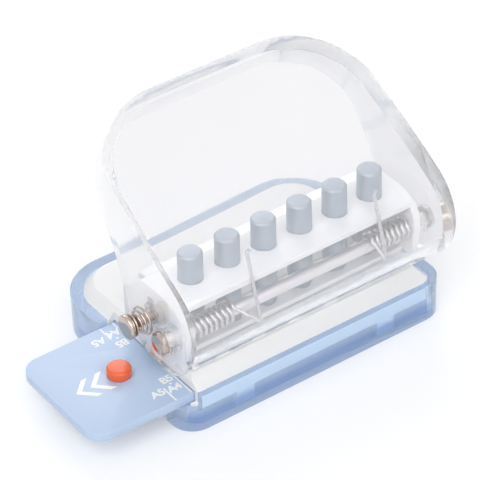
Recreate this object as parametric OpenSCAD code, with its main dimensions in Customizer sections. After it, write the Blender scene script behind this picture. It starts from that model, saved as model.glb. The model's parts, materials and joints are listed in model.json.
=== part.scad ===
// Six-hole paper punch: a clear press lever over a row of punches, with a chip tray below.
// Millimetres, +Z up, +X along the punch row, the paper goes in from the near side at -Y.
// The origin is the middle of the tray's underside.

/* [Punch row] */
// Distance between neighbouring holes
pitch = 9.5; // [9.3:0.1:9.7]
// Diameter of a punch
punch_d = 5.5; // [5.2:0.1:5.6]
// Height of the punch tops above the top plate
punch_rise = 7.05; // [6.6:0.05:7.1]
// Working stroke of the punches
stroke = 4.6; // [4.5:0.05:4.75]
// Bevel on the rim of a punch top
punch_bevel = 0.4; // [0.2:0.1:0.5]

/* [Tray] */
// Depth of the tray
tray_d = 53.2; // [52:0.2:56]
// Height of the tray
tray_h = 9.4; // [9.2:0.1:9.6]
// Thickness of the tray wall on the paper side
tray_wall = 1.5; // [1.3:0.1:1.7]
// Thickness of the tray wall at the sides and the far side
side_wall = 2.8; // [2.6:0.1:2.9]
// Thickness of the tray floor
tray_floor = 1.2; // [1:0.1:1.5]
// Corner radius on the paper side
near_corner_r = 5.5; // [5:0.5:6]
// Corner radius on the far side
far_corner_r = 12.6; // [11:0.2:14]
// Tray's near edge to the punch row
row_setback = 13.4; // [13:0.1:14]
// Tray's side beyond the lever's side
tray_margin = 0.4; // [0.2:0.1:0.6]

/* [Housing] */
// Height of the deck above the tray rim
deck_rise = 2.4; // [2.3:0.1:2.5]
// Thickness of the deck
deck_t = 1; // [0.9:0.1:1]
// Thickness of the housing skirt
skirt_wall = 1.4; // [1.2:0.1:1.6]
// Width of the sloped edge at the sides and the far side
side_slope = 2.4; // [2.3:0.1:2.5]
// Width of the sloped edge where the paper goes in
near_slope = 3.6; // [3.2:0.1:4]
// Width of a leg that stands on the tray floor
leg_w = 4.6; // [4:0.2:6]

/* [Frame] */
// Height of the paper slot
slot_h = 1.6; // [1.5:0.1:1.7]
// Thickness of the guide plate
guide_t = 1; // [0.9:0.1:1.1]
// Height of the top plate above the deck
frame_h = 17.5; // [17.4:0.1:17.8]
// Thickness of the top plate
plate_t = 1.5; // [1.3:0.1:1.6]
// Top plate's near edge from the punch row
plate_near = 7.5; // [7.2:0.1:7.6]
// Top plate's far edge from the punch row
plate_far = 5.8; // [5.4:0.1:5.9]
// Top plate's ends beyond the outer punches
plate_end = 5.65; // [5.4:0.05:6]
// Thickness of a cheek
cheek_t = 1.8; // [1.6:0.1:2]
// Punch row to the paper stop
paper_margin = 5.6; // [5.4:0.1:5.8]
// Thickness of the die plate
die_t = 0.6; // [0.5:0.1:0.6]
// Thickness of the lifter plate
lifter_t = 1.5; // [1.3:0.1:1.6]

/* [Lever] */
// Hinge line behind the punch row
hinge_back = 6; // [5.9:0.1:6.1]
// Hinge line below the top plate
hinge_drop = 7.75; // [7.7:0.05:7.8]
// Diameter of the hinge shaft
shaft_d = 3; // [2.8:0.1:3.1]
// Angle of the raised lever
rest_angle = 31.3; // [30.5:0.1:31.5]
// Panel's outer face above the hinge line
panel_h = 15.7; // [15.6:0.1:16.2]
// Thickness of the panel
panel_t = 2.8; // [2.6:0.1:2.9]
// Hinge line to the free end
reach = 47.4; // [46:0.2:50]
// Hinge line to the near face
heel = 8.4; // [8.2:0.1:8.8]
// Thickness of the lever's walls
lever_wall = 2.3; // [2.1:0.1:2.4]
// Radius of the bend between near face and panel
heel_r = 13; // [12.6:0.1:13.2]
// Radius of the two free corners
tip_r = 20; // [18:0.5:22]
// Space between a cheek and the lever's wall
cheek_gap = 1.5; // [1.3:0.1:1.6]
// Radius of the ear below the hinge
ear_r = 11.2; // [10.6:0.1:11.3]

/* [Springs] */
// Wire of the two torsion springs
torsion_wire = 0.85; // [0.8:0.05:0.85]
// Wire of the two lifter springs
lifter_wire = 0.6; // [0.5:0.05:0.7]
// Wire of the lock spring
lock_wire = 0.5; // [0.45:0.05:0.5]

/* [Lock] */
// Diameter of the lock pin
lock_d = 2.5; // [2.2:0.1:2.6]
// Diameter of the lock knob
knob_d = 5.6; // [5:0.1:6]
// How far the knob stands off the lever
knob_stand = 5.4; // [5.2:0.1:5.8]

/* [Gauge] */
// Width of the ruler
ruler_w = 30; // [29:0.5:30.5]
// Thickness of the ruler
ruler_t = 2; // [1.8:0.1:2]
// How far the ruler stands out of the tray
ruler_out = 20.6; // [18:0.2:22]
// Corner radius of the ruler
ruler_r = 4.5; // [3:0.5:6]
// Diameter of the button
button_d = 5.5; // [5:0.1:5.6]
// Height of the button
button_h = 2.3; // [2:0.1:2.3]

/* [Fits] */
// Radial clearance of running fits
run_fit = 0.05; // [0.03:0.01:0.08]
// Space between the tray wall and the housing
tray_gap = 0.2; // [0.15:0.05:0.3]
// Space around the sliding ruler
slide_gap = 0.3; // [0.2:0.05:0.4]

/* [Hidden] */
$fn = 64;
eps = 0.01;
over = 1;
punch_count = 6;
round_punch_fn = 48;
white = [0.93, 0.93, 0.94];
steel = [0.72, 0.75, 0.80];
wire_grey = [0.68, 0.66, 0.66];
clear = [0.90, 0.91, 0.95, 0.35];
blue = [0.45, 0.62, 0.85, 0.75];
pale_blue = [0.70, 0.79, 0.91];
orange = [0.94, 0.38, 0.20];

// widths from the row outwards
row_half = (punch_count - 1) * pitch / 2;
plate_half = row_half + plate_end;
cheek_out = plate_half + cheek_t;
lever_in = cheek_out + cheek_gap;
lever_half = lever_in + lever_wall;
tray_half = lever_half + tray_margin;

// depths
tray_near = -tray_d / 2;
tray_far = tray_d / 2;
row_y = tray_near + row_setback;
hinge_y = row_y - hinge_back;
stop_y = row_y + paper_margin;

// heights
deck_z = tray_h + deck_rise;
guide_z = deck_z + slot_h;
guide_top = guide_z + guide_t;
plate_z = deck_z + frame_h;
hinge_z = plate_z - hinge_drop;
punch_top = plate_z + punch_rise;
punch_bottom = guide_top - 0.2;
lifter_top = plate_z - plate_t - 0.1;
lifter_z = lifter_top - lifter_t;

// housing inside the tray
hous_half = tray_half - side_wall - tray_gap;
hous_near = tray_near + tray_wall + tray_gap;
hous_far = tray_far - side_wall - tray_gap;
hous_far_r = far_corner_r - side_wall - tray_gap;
corner_ease = 0.05;
corner_up = 1.5;
edge_z = tray_h - 0.4;
skirt_z = tray_h - 4.5;
deck_under = deck_z - deck_t;
leg_x = 2 * pitch;
lip_w = 0.6;
die_half = plate_half - 1.4;
die_depth = 3.9;
pedestal_half = row_half + 0.25;
pedestal_d = 4.9;

// gauge
ruler_z = tray_h - 3.1;
ruler_top = ruler_z + ruler_t;
ruler_near = row_y - 10;
ruler_far = ruler_near + ruler_w;
ruler_x = -tray_half - ruler_out;
ruler_in = ruler_x + ruler_out + 6;
tail_near = row_y + 9;
tail_far = tail_near + 10;
tail_x = ruler_in + 39;
runner_t = 0.5;
runner_w = 1.2;
button_bevel = 0.4;
button_x = -tray_half - 4.8;
button_y = row_y + 4.4;
stem_d = 3;
rail_w = 1.2;
rail_x = ruler_in + ruler_out + 2;
rail_len = 29;
rail_drop = 0.8;
rail_lip = 0.9;
rail_play = 0.2;
mouth_near = row_y - 5.9;
mouth_in = 4.4;
mouth_step = 1.6;
tunnel_x = -hous_half + side_slope + skirt_wall;
mouth_x = -hous_half + mouth_step;

// frame
guide_near = 5;
guide_far = 4;
cheek_near = hinge_y - shaft_d / 2 - 1.1;
cheek_far = row_y + 15;
cheek_r = 6;
cheek_slope = 8;
lug_t = 1.2;
lug_h = 1.5;
lug_near = row_y - 4;
lug_far = row_y - 1.5;
window_near = row_y - 2.4;
window_far = row_y + 3.4;
window_z = deck_z + 9.2;
window_top = deck_z + 14.7;
foot_in = plate_half - 4.9;
foot_t = 3;
foot_near = row_y + 7.4;
screw_x = plate_half - 2.5;
screw_ys = [row_y + 9.4, row_y + 13];
screw_d = 2;
screw_head_d = 3.6;
screw_head_t = 1.2;
drive_len = 2.4;
drive_w = 0.6;
drive_deep = 0.5;
screw_room = 0.4;
bore_room = 0.1;
groove_d = punch_d - 1.2;
end_cut_d = 8.4;
end_cut_z = punch_bottom - 3.4;
lifter_near = 1.2;
lifter_far = 10;
lifter_end = 0.8;

// lever, in its own frame: x, v away from the hinge, n up from the hinge
panel_in = panel_h - panel_t;
heel_v = heel_r - heel;
heel_n = panel_h - heel_r;
ear_v = 4.5;
ear_n = 1.5;
heel_ear_r = ear_r - 1.2;
near_edge_n = 0.4;
ear_fill_n = -5;
skirt_n = panel_h - 8.4;
arch_r = 45;
arch_v = 44;
arch_n = skirt_n - arch_r;
side_taper = 0.6;
taper_v = 12;
lever_room = 40;
boss_r = shaft_d / 2 + 1.5;
boss_out = 0.3;
lock_v = 6.7;
lock_n = -1.5;
cap_t = 1.4;
cap_d = 5.2;
cap_bevel = 0.4;
cap_gap = 0.1;
boss_gap = 0.2;
shaft_half = lever_half + boss_out + 0.6;

// place of the lock pin when the lever is pressed down
travel = 54;
shut = rest_angle - travel;
lock_shut_y = hinge_y + lock_v * cos(shut) - lock_n * sin(shut);
lock_shut_z = hinge_z + lock_v * sin(shut) + lock_n * cos(shut);

// lock pin, measured from the lever's outer side
ring_t = 0.5;
ring_d = 4;
ring_room = 0.4;
ring_groove_d = lock_d - 0.6;
pin_tip = -(cheek_out + 0.3);
ring_x = -lever_in + 0.05;
flange_gap = 3.5;
flange_x = -(lever_half + flange_gap);
flange_r = 2.7;
knob_t = 0.9;
knob_bevel = 0.25;
neck_r = 1.9;
neck_t = 0.6;
knob_x = -(lever_half + knob_stand);

// springs
spring_y = row_y + 7.4;
spring_x = row_half - pitch / 2;
pedestal_z = guide_z;
coil_steps = 8;
wire_sides = 6;
torsion_r = shaft_d / 2 + 0.8;
torsion_pitch = torsion_wire + 0.5;
torsion_turns = 7;
torsion_corner_v = -5.2;
torsion_corner_n = 0.8;
torsion_tip_v = 6.6;
torsion_tip_h = 1.4;
torsion_bend_r = 1;
torsion_tip_r = 0.5;
torsion_foot = 2;
torsion_touch = 0.02;
torsion_left_in = 1.4;
torsion_right_in = 0.6;
leg_left_in = 10.05;
leg_right_in = 3.75;
leg_left_x = -row_half + leg_left_in;
leg_right_x = row_half - leg_right_in;
lifter_coil_r = 2;
lifter_turns = 8;
post_d = 2.6;
post_h = 4.5;
post_sink = 0.5;
lock_coil_r = 1.8;
lock_coil_end_r = 3.4;
lock_turns = 3;

// Place of a punch along the row
function punch_x(i) = -row_half + (i - 1) * pitch;

// Turn a (v, n) place of the raised lever into (y, z)
function lever_y(v, n) = hinge_y + v * cos(rest_angle) - n * sin(rest_angle);
function lever_z(v, n) = hinge_z + v * sin(rest_angle) + n * cos(rest_angle);
function lever_pt(x, v, n) = [x, lever_y(v, n), lever_z(v, n)];

// Unit vector
function unit(v) = v / norm(v);

// Direction of a path at point i
function path_dir(p, i) =
    let (last = len(p) - 1)
    i == 0 ? unit(p[1] - p[0]) :
    i == last ? unit(p[last] - p[last - 1]) :
    unit(unit(p[i + 1] - p[i]) + unit(p[i] - p[i - 1]));

// Carry a side vector square to the next direction
function carried(side, dir) = unit(side - (side * dir) * dir);

// One side vector for each point, carried along without twist
function path_sides(p, first) =
    [for (i = 0, s = carried(first, path_dir(p, 0)); i < len(p);
        i = i + 1, s = i < len(p) ? carried(s, path_dir(p, i)) : s) s];

// Rings of a round wire along a path
function wire_points(p, r, first) =
    let (sides = path_sides(p, first))
    [for (i = [0 : len(p) - 1])
        let (d = path_dir(p, i), s = sides[i], u = cross(d, s))
        for (k = [0 : wire_sides - 1])
            p[i] + r * (cos(360 * k / wire_sides) * s + sin(360 * k / wire_sides) * u)];

// Triangles between the rings and over both ends
function wire_faces(n) =
    let (m = wire_sides)
    concat(
        [for (i = [0 : n - 2], k = [0 : m - 1])
            [i * m + k, (i + 1) * m + k, i * m + (k + 1) % m]],
        [for (i = [0 : n - 2], k = [0 : m - 1])
            [i * m + (k + 1) % m, (i + 1) * m + k, (i + 1) * m + (k + 1) % m]],
        [for (k = [1 : m - 2]) [0, k, k + 1]],
        [for (k = [1 : m - 2]) let (b = (n - 1) * m) [b, b + k + 1, b + k]]);

// Least distance between two turns of one wire, less the wire itself
function wire_gap(p, r) =
    min([for (i = [0 : len(p) - 1], j = [i + 5 : 1 : len(p) - 1]) norm(p[i] - p[j])]) - 2 * r;

module wire(p, d, first, name) {
    echo(str("least gap of ", name, ": ", wire_gap(p, d / 2)));
    polyhedron(points = wire_points(p, d / 2, first), faces = wire_faces(len(p)));
}

// A bend of a path at b, between a and c, as three points
function bend(a, b, c, r) =
    let (u = unit(a - b), w = unit(c - b))
    [b + r * u, b + r * 0.3 * (u + w), b + r * w];

// Compression spring that stands on z = 0, with both ends square to their seats
function press_coil(r0, r1, wire, height, turns) =
    let (n = turns * coil_steps, z0 = 1.2 * wire, rise = height - 2.4 * wire)
    concat(
        [[r0, 0, 0], [r0, 0, wire]],
        [for (i = [1 : n - 1])
            let (a = 360 * i / coil_steps, r = r0 + (r1 - r0) * i / n)
            [r * cos(a), r * sin(a), z0 + rise * i / n]],
        [[r1, 0, height - wire], [r1, 0, height]]);

// Torsion spring: a leg on the guide plate, turns round the shaft, a leg up to the panel
function torsion_path(x0, step, turns, leg_x) =
    let (corner = lever_pt(leg_x, torsion_corner_v, torsion_corner_n),
        rel = [corner[1] - hinge_y, corner[2] - hinge_z],
        away = norm(rel),
        leave = atan2(rel[1], rel[0]) + 360 - acos(torsion_r / away),
        total = 360 * turns + leave,
        n = ceil(total / 360 * coil_steps),
        last = [x0 + step * total / 360, hinge_y + torsion_r * cos(leave),
            hinge_z + torsion_r * sin(leave)],
        low_tip = lever_pt(leg_x, torsion_tip_v, panel_in - torsion_tip_h))
    concat(
        [[x0, hinge_y + torsion_r, guide_top + torsion_touch],
            [x0, hinge_y + torsion_r, guide_top + torsion_foot]],
        [for (i = [0 : n])
            let (a = total * i / n)
            [x0 + step * a / 360, hinge_y + torsion_r * cos(a), hinge_z + torsion_r * sin(a)]],
        bend(last, corner, low_tip, torsion_bend_r),
        bend(corner, low_tip, lever_pt(leg_x, torsion_tip_v, panel_in), torsion_tip_r),
        [lever_pt(leg_x, torsion_tip_v, panel_in - torsion_touch)]);

// Plan with two corner radii, from y0 to y1
module rounded_plan(half, y0, y1, r0, r1) {
    translate([-half, y0 + r0])
        square([2 * half, y1 - y0 - r0 - r1]);
    translate([-half + r0, y0])
        square([2 * (half - r0), r0 + eps]);
    translate([-half + r1, y1 - r1 - eps])
        square([2 * (half - r1), r1 + eps]);
    for (s = [-1, 1]) {
        translate([s * (half - r0), y0 + r0])
            circle(r0);
        translate([s * (half - r1), y1 - r1])
            circle(r1);
    }
}

// Plan of tray and housing, drawn in by a distance on the paper side and one on the others
module base_plan(near, side) {
    rounded_plan(tray_half - side, tray_near + near, tray_far - side,
        near_corner_r - side, far_corner_r - side);
}

// Box between two corners
module block(a, b) {
    translate(a)
        cube(b - a);
}

// Extrude a (y, z) drawing along x, from x0 to x1
module along_x(x0, x1) {
    translate([x0, 0, 0])
        rotate([90, 0, 90])
            linear_extrude(x1 - x0)
                children();
}

// Rod along x, from x0 to x1
module rod_x(x0, x1, d) {
    translate([x0, 0, 0])
        rotate([0, 90, 0])
            cylinder(d = d, h = x1 - x0);
}

// Put a piece drawn in the lever's frame in its raised place
module raised() {
    translate([0, hinge_y, hinge_z])
        rotate([rest_angle, 0, 0])
            children();
}

module chip_tray() {
    color(blue)
        difference() {
            linear_extrude(tray_h)
                base_plan(0, 0);
            translate([0, 0, tray_floor])
                linear_extrude(tray_h)
                    base_plan(tray_wall, side_wall);
            block([-tray_half - over, tray_near - over, ruler_z - runner_t - rail_play],
                [-tray_half + mouth_in, ruler_far + slide_gap, tray_h + over]);
            block([-tray_half - over, mouth_near, -over],
                [-tray_half + side_wall, ruler_far + slide_gap, tray_h + over]);
        }
}

// What lies outside the slope round a far corner, which starts at radius r
module corner_cut(s, r, slope, rise) {
    difference() {
        block([s > 0 ? 0 : -r - over, 0, 0], [s > 0 ? r + over : 0, r + over, corner_up * rise]);
        cylinder(r1 = r + corner_ease, r2 = r + corner_ease - corner_up * slope, h = corner_up * rise);
    }
}

// Outside of the housing, or its hollow when drawn in
module housing_form(inset, top, low) {
    difference() {
        intersection() {
            translate([0, 0, low])
                linear_extrude(top - low)
                    base_plan(tray_wall + tray_gap + inset, side_wall + tray_gap + inset);
            along_x(-tray_half, tray_half)
                polygon([[hous_near + inset, low], [hous_far - inset, low],
                    [hous_far - inset, edge_z - inset / 2], [hous_far - side_slope - inset / 2, top],
                    [hous_near + near_slope + inset / 2, top], [hous_near + inset, edge_z - inset / 2]]);
            translate([0, tray_far, 0])
                rotate([90, 0, 0])
                    linear_extrude(tray_d)
                        polygon([[-hous_half + inset, low], [hous_half - inset, low],
                            [hous_half - inset, edge_z - inset / 2],
                            [hous_half - side_slope - inset / 2, top],
                            [-hous_half + side_slope + inset / 2, top],
                            [-hous_half + inset, edge_z - inset / 2]]);
        }
        for (s = [-1, 1])
            translate([s * (hous_half - hous_far_r), hous_far - hous_far_r, edge_z - inset / 2])
                corner_cut(s, hous_far_r - inset, side_slope - inset / 2, top - edge_z + inset / 2);
    }
}

// Rail with a lip that carries the ruler's tail; the lip points to +Y or -Y
module tail_rail(y, way) {
    low = min(y, y - way * rail_w);
    lip = min(y - way * rail_w, y + way * rail_lip);
    block([rail_x, low, ruler_z - rail_drop], [rail_x + rail_len, low + rail_w, deck_under + eps]);
    block([rail_x, lip, ruler_z - rail_drop],
        [rail_x + rail_len, lip + rail_w + rail_lip, ruler_z - rail_play]);
}

module base_housing() {
    color(white) {
        difference() {
            housing_form(0, deck_z, skirt_z);
            housing_form(skirt_wall, deck_under, skirt_z - over);
            block([-tray_half - over, tray_near - over, ruler_z - slide_gap],
                [mouth_x, ruler_far + slide_gap, deck_z + over]);
            block([-tray_half - over, ruler_near - slide_gap, skirt_z - over],
                [tunnel_x, ruler_far + slide_gap, ruler_top + slide_gap]);
            block([-tray_half - over, button_y - button_d / 2 - slide_gap, ruler_z],
                [tunnel_x, button_y + button_d / 2 + slide_gap, ruler_top + button_h + slide_gap]);
            block([-die_half + lip_w, row_y - die_depth + lip_w, skirt_z],
                [die_half - lip_w, row_y + die_depth - lip_w, deck_z + over]);
            block([-die_half - run_fit, row_y - die_depth - run_fit, deck_z - die_t],
                [die_half + run_fit, row_y + die_depth + run_fit, deck_z + over]);
            for (s = [-1, 1], y = screw_ys)
                translate([s * screw_x, y, skirt_z])
                    cylinder(d = screw_d + 4 * run_fit, h = deck_z);
        }
        for (s = [-1, 1]) {
            block([s * leg_x - leg_w / 2, hous_near, tray_floor],
                [s * leg_x + leg_w / 2, hous_near + skirt_wall, skirt_z + over]);
            block([s * leg_x - leg_w / 2, hous_far - skirt_wall, tray_floor],
                [s * leg_x + leg_w / 2, hous_far, skirt_z + over]);
            translate([s * spring_x, spring_y, pedestal_z - post_sink])
                cylinder(d = post_d, h = post_h);
        }
        block([-pedestal_half, stop_y, deck_z - eps],
            [pedestal_half, stop_y + pedestal_d, pedestal_z]);
        tail_rail(tail_near - slide_gap / 2, 1);
        tail_rail(tail_far + slide_gap / 2, -1);
    }
}

module die_plate() {
    color(steel)
        difference() {
            block([-die_half, row_y - die_depth, deck_z - die_t],
                [die_half, row_y + die_depth, deck_z]);
            for (i = [1 : punch_count])
                translate([punch_x(i), row_y, deck_z - die_t - over])
                    cylinder(d = punch_d + 2 * run_fit, h = die_t + 2 * over);
        }
}

module top_plate() {
    color(white)
        difference() {
            block([-plate_half, row_y - plate_near, plate_z - plate_t],
                [plate_half, row_y + plate_far, plate_z]);
            for (i = [1 : punch_count])
                translate([punch_x(i), row_y, plate_z - plate_t - over])
                    cylinder(d = punch_d + 2 * run_fit, h = plate_t + 2 * over);
        }
}

// Side drawing of a cheek, in (y, z)
module cheek_side() {
    difference() {
        union() {
            translate([cheek_near, guide_top])
                square([row_y + plate_far - cheek_near, plate_z - cheek_r - guide_top]);
            translate([cheek_near + cheek_r, plate_z - cheek_r])
                circle(cheek_r);
            translate([cheek_near + cheek_r, plate_z - 2 * cheek_r])
                square([row_y + plate_far - cheek_near - cheek_r, 2 * cheek_r]);
            polygon([[stop_y, deck_z], [cheek_far, deck_z], [cheek_far, plate_z - cheek_slope],
                [row_y + plate_far, plate_z], [stop_y, plate_z]]);
        }
        translate([hinge_y, hinge_z])
            circle(d = shaft_d + 2 * run_fit);
    }
}

module cheek_right() {
    color(white)
        difference() {
            union() {
                along_x(plate_half, cheek_out)
                    cheek_side();
                block([foot_in, foot_near, deck_z], [plate_half + eps, cheek_far, deck_z + foot_t]);
                block([plate_half - lug_t, lug_near, plate_z - plate_t - lug_h],
                    [plate_half + eps, lug_far, plate_z - plate_t]);
            }
            for (y = screw_ys)
                translate([screw_x, y, deck_z - over])
                    cylinder(d = screw_d + 2 * run_fit, h = over + foot_t - screw_room + bore_room);
        }
}

module cheek_left() {
    color(white)
        difference() {
            union() {
                along_x(-cheek_out, -plate_half)
                    cheek_side();
                block([-plate_half - eps, foot_near, deck_z], [-foot_in, cheek_far, deck_z + foot_t]);
                block([-plate_half - eps, lug_near, plate_z - plate_t - lug_h],
                    [-plate_half + lug_t, lug_far, plate_z - plate_t]);
            }
            for (y = screw_ys)
                translate([-screw_x, y, deck_z - over])
                    cylinder(d = screw_d + 2 * run_fit, h = over + foot_t - screw_room + bore_room);
            block([-cheek_out - over, window_near, window_z],
                [-plate_half + over, window_far, window_top]);
            translate([0, lock_shut_y, lock_shut_z])
                rod_x(-cheek_out - over, -plate_half + over, ring_d + ring_room);
        }
}

module guide_plate() {
    color(steel)
        difference() {
            block([-cheek_out, row_y - guide_near, guide_z], [cheek_out, row_y + guide_far, guide_top]);
            for (i = [1 : punch_count])
                translate([punch_x(i), row_y, guide_z - over])
                    cylinder(d = punch_d + 2 * run_fit, h = guide_t + 2 * over);
        }
}

// One punch: bevelled top, groove for the lifter, hollow cutting end
module punch(i) {
    r = punch_d / 2;
    color(steel)
        translate([punch_x(i), row_y, 0])
            difference() {
                rotate_extrude($fn = round_punch_fn)
                    polygon([[0, punch_bottom], [r, punch_bottom], [r, lifter_z - run_fit],
                        [groove_d / 2, lifter_z - run_fit], [groove_d / 2, lifter_top + run_fit],
                        [r, lifter_top + run_fit], [r, punch_top - punch_bevel],
                        [r - punch_bevel, punch_top], [0, punch_top]]);
                translate([0, 0, end_cut_z])
                    rod_x(-r - over, r + over, end_cut_d);
            }
}

module punch_1() { punch(1); }
module punch_2() { punch(2); }
module punch_3() { punch(3); }
module punch_4() { punch(4); }
module punch_5() { punch(5); }
module punch_6() { punch(6); }

module lifter_plate() {
    slot = groove_d + 2 * run_fit;
    color(steel)
        difference() {
            block([-plate_half + lifter_end, row_y - lifter_near, lifter_z],
                [plate_half - lifter_end, row_y + lifter_far, lifter_top]);
            for (i = [1 : punch_count])
                translate([punch_x(i), row_y, lifter_z - over]) {
                    cylinder(d = slot, h = lifter_t + 2 * over);
                    translate([-slot / 2, -lifter_near - over, 0])
                        cube([slot, lifter_near + over, lifter_t + 2 * over]);
                }
        }
}

module lifter_spring(s) {
    h = lifter_z - pedestal_z;
    color(wire_grey)
        translate([s * spring_x, spring_y, pedestal_z])
            wire(press_coil(lifter_coil_r, lifter_coil_r, lifter_wire, h, lifter_turns), lifter_wire,
                [1, 0, 0], "lifter spring");
}

module lifter_spring_left() { lifter_spring(-1); }
module lifter_spring_right() { lifter_spring(1); }

module hinge_shaft() {
    color(steel)
        translate([0, hinge_y, hinge_z])
            rod_x(-shaft_half, shaft_half, shaft_d);
}

// Cap over an end of the shaft, drawn for the right side
module shaft_cap() {
    inner = lever_half + boss_out + cap_gap;
    difference() {
        union() {
            rod_x(inner, inner + cap_t - cap_bevel, cap_d);
            translate([inner + cap_t - cap_bevel - eps, 0, 0])
                rotate([0, 90, 0])
                    cylinder(d1 = cap_d, d2 = cap_d - 2 * cap_bevel, h = cap_bevel);
        }
        rod_x(inner - over, shaft_half, shaft_d + 2 * run_fit);
    }
}

module shaft_cap_right() {
    color(steel)
        translate([0, hinge_y, hinge_z])
            shaft_cap();
}

module shaft_cap_left() {
    color(steel)
        translate([0, hinge_y, hinge_z])
            mirror([1, 0, 0])
                shaft_cap();
}

module torsion_spring_left() {
    color(wire_grey)
        wire(torsion_path(-plate_half + torsion_left_in, torsion_pitch, torsion_turns, leg_left_x),
            torsion_wire, [1, 0, 0], "left torsion spring");
}

module torsion_spring_right() {
    color(wire_grey)
        wire(torsion_path(plate_half - torsion_right_in, -torsion_pitch, torsion_turns, leg_right_x),
            torsion_wire, [1, 0, 0], "right torsion spring");
}

// Side drawing of the lever, in (v, n)
module lever_side() {
    difference() {
        union() {
            translate([-heel, near_edge_n])
                square([reach + heel, panel_h - near_edge_n]);
            translate([ear_v, ear_fill_n])
                square([arch_v - ear_v, near_edge_n - ear_fill_n + eps]);
            translate([ear_v, ear_n])
                circle(ear_r);
            translate([heel_ear_r - heel, ear_n])
                circle(heel_ear_r);
        }
        translate([arch_v, arch_n]) {
            circle(arch_r, $fn = 180);
            square([reach, arch_r]);
        }
        difference() {
            translate([-heel - over, heel_n])
                square([heel_r + over, heel_r + over]);
            translate([heel_v, heel_n])
                circle(heel_r, $fn = 120);
        }
    }
}

// Side drawing of the lever's hollow
module lever_hollow_side() {
    inner_r = heel_r - lever_wall;
    translate([-heel + lever_wall, -lever_room])
        square([reach + heel - 2 * lever_wall, lever_room + heel_n]);
    translate([-heel - over, -lever_room])
        square([lever_wall + 2 * over, lever_room + near_edge_n]);
    intersection() {
        translate([-heel + lever_wall, heel_n - eps])
            square([reach + heel - 2 * lever_wall, panel_in - heel_n + eps]);
        union() {
            translate([heel_v, heel_n])
                circle(inner_r, $fn = 120);
            translate([heel_v, heel_n - eps])
                square([reach, panel_in - heel_n + eps]);
        }
    }
}

// Plan of the lever in (x, v), drawn in by a distance
module lever_plan(inset) {
    half = lever_half - inset;
    tip_half = half - side_taper;
    r = tip_r - inset;
    end = reach - inset;
    polygon([[-half, -heel - over], [half, -heel - over], [half, taper_v], [tip_half, end - r],
        [-tip_half, end - r], [-half, taper_v]]);
    translate([-tip_half + r, end - r - eps])
        square([2 * (tip_half - r), r + eps]);
    for (s = [-1, 1])
        translate([s * (tip_half - r), end - r])
            circle(r, $fn = 96);
}

// Plan of the lever's hollow, open on the near side below the near wall
module hollow_plan() {
    lever_plan(lever_wall);
    translate([-lever_in, -heel - 2 * over])
        square([2 * lever_in, heel]);
}

module lever() {
    color(clear)
        raised()
            difference() {
                union() {
                    difference() {
                        intersection() {
                            along_x(-lever_half, lever_half)
                                lever_side();
                            translate([0, 0, -lever_room])
                                linear_extrude(2 * lever_room)
                                    lever_plan(0);
                        }
                        intersection() {
                            along_x(-lever_half, lever_half)
                                lever_hollow_side();
                            translate([0, 0, -lever_room])
                                linear_extrude(2 * lever_room)
                                    hollow_plan();
                        }
                    }
                    for (s = [-1, 1])
                        rod_x(s > 0 ? cheek_out + boss_gap : -lever_half - boss_out,
                            s > 0 ? lever_half + boss_out : -cheek_out - boss_gap, 2 * boss_r);
                }
                rod_x(-shaft_half, shaft_half, shaft_d + 2 * run_fit);
                translate([0, lock_v, lock_n])
                    rod_x(-tray_half, -cheek_out, lock_d + 2 * run_fit);
            }
}

module lock_pin() {
    r = lock_d / 2;
    color(steel)
        raised()
            translate([knob_x, lock_v, lock_n])
                rotate([0, 90, 0])
                    rotate_extrude($fn = round_punch_fn)
                        polygon([[0, 0], [knob_d / 2 - knob_bevel, 0], [knob_d / 2, knob_bevel],
                            [knob_d / 2, knob_t], [neck_r, knob_t], [neck_r, knob_t + neck_t],
                            [flange_r, knob_t + neck_t], [flange_r, flange_x - knob_x],
                            [r, flange_x - knob_x], [r, ring_x - knob_x],
                            [ring_groove_d / 2, ring_x - knob_x],
                            [ring_groove_d / 2, ring_x + ring_t - knob_x],
                            [r, ring_x + ring_t - knob_x], [r, pin_tip - knob_x], [0, pin_tip - knob_x]]);
}

module lock_ring() {
    color(steel)
        raised()
            translate([0, lock_v, lock_n])
                difference() {
                    rod_x(ring_x + eps, ring_x + ring_t - eps, ring_d);
                    rod_x(ring_x - over, ring_x + ring_t + over, ring_groove_d + 2 * run_fit);
                }
}

module lock_spring() {
    color(wire_grey)
        raised()
            translate([flange_x, lock_v, lock_n])
                rotate([0, 90, 0])
                    wire(press_coil(lock_coil_r, lock_coil_end_r, lock_wire, flange_gap, lock_turns),
                        lock_wire, [1, 0, 0], "lock spring");
}

// Ruler plan, from its outer end to its tail
module ruler_plan() {
    translate([ruler_x + ruler_r, ruler_near])
        square([ruler_in - ruler_x - ruler_r, ruler_w]);
    translate([ruler_x, ruler_near + ruler_r])
        square([2 * ruler_r, ruler_w - 2 * ruler_r]);
    for (y = [ruler_near + ruler_r, ruler_far - ruler_r])
        translate([ruler_x + ruler_r, y])
            circle(ruler_r);
    translate([ruler_in - eps, tail_near])
        square([tail_x - ruler_in, tail_far - tail_near]);
}

module gauge_ruler() {
    color(pale_blue)
        difference() {
            union() {
                translate([0, 0, ruler_z])
                    linear_extrude(ruler_t)
                        ruler_plan();
                for (y = [ruler_near, ruler_far - runner_w])
                    block([button_x, y, ruler_z - runner_t], [ruler_in, y + runner_w, ruler_z + eps]);
            }
            translate([button_x, button_y, ruler_z - over])
                cylinder(d = stem_d + 2 * run_fit, h = ruler_t + 2 * over);
        }
}

module gauge_button() {
    color(orange)
        translate([button_x, button_y, 0])
            rotate_extrude()
                polygon([[0, ruler_z], [stem_d / 2, ruler_z], [stem_d / 2, ruler_top],
                    [button_d / 2, ruler_top], [button_d / 2, ruler_top + button_h - button_bevel],
                    [button_d / 2 - button_bevel, ruler_top + button_h], [0, ruler_top + button_h]]);
}

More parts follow.
